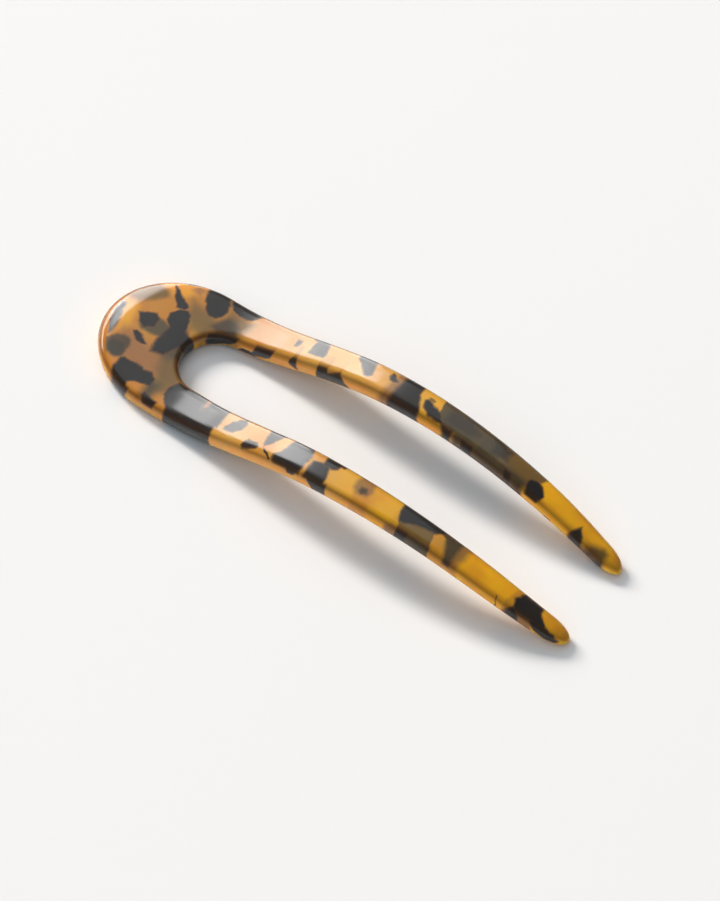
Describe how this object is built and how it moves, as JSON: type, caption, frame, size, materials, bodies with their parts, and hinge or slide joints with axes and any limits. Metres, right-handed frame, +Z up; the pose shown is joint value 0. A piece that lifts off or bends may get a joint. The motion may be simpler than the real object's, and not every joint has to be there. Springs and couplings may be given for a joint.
{
  "type": "french hair pin",
  "caption": "U-shaped hair pin in tortoiseshell acetate: a broad rounded crown and two long arched prongs with rounded tips.",
  "frame": {"origin": "centre of the pin's bounding box at the height of the surface it lies on", "axes": "+X from the crown to the tips, +Y across the pin, +Z up; the crown's underside and both tips are at z = 0"},
  "size_m": [0.1335, 0.0366, 0.0154],
  "materials": {
    "acetate": "tumble-polished cellulose acetate, amber with black-brown tortoiseshell flakes"
  },
  "bodies": {
    "root": {"hair_pin": "acetate"}
  },
  "joints": []
}
